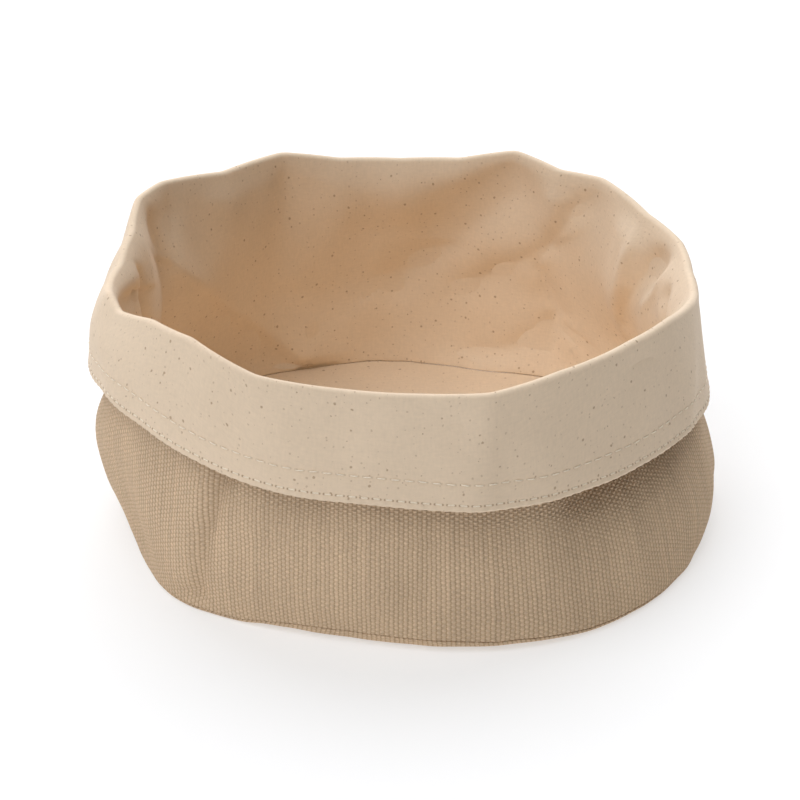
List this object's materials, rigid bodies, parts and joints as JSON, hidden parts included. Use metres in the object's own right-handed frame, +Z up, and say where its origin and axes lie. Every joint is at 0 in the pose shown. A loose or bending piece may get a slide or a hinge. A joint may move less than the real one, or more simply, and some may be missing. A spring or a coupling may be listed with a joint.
{
  "type": "bread bag",
  "caption": "Round open bread bag of heavy canvas with a thin cotton lining, its top turned down outside as a wide hemmed cuff.",
  "frame": {"origin": "middle of the flat underside, on the surface that the bag stands on", "axes": "+Z up out of the open top; -Y towards the side that the picture shows; +X to that view's right"},
  "size_m": [0.2294, 0.2285, 0.1013],
  "materials": {
    "canvas": "heavy plain-weave canvas of thick unbleached yarn, matt",
    "lining_cotton": "thin unbleached cotton with small dark seed flecks, matt"
  },
  "bodies": {
    "root": {"canvas_wall": "canvas", "canvas_base": "canvas", "lining_wall": "lining_cotton", "lining_base": "lining_cotton"}
  },
  "joints": []
}
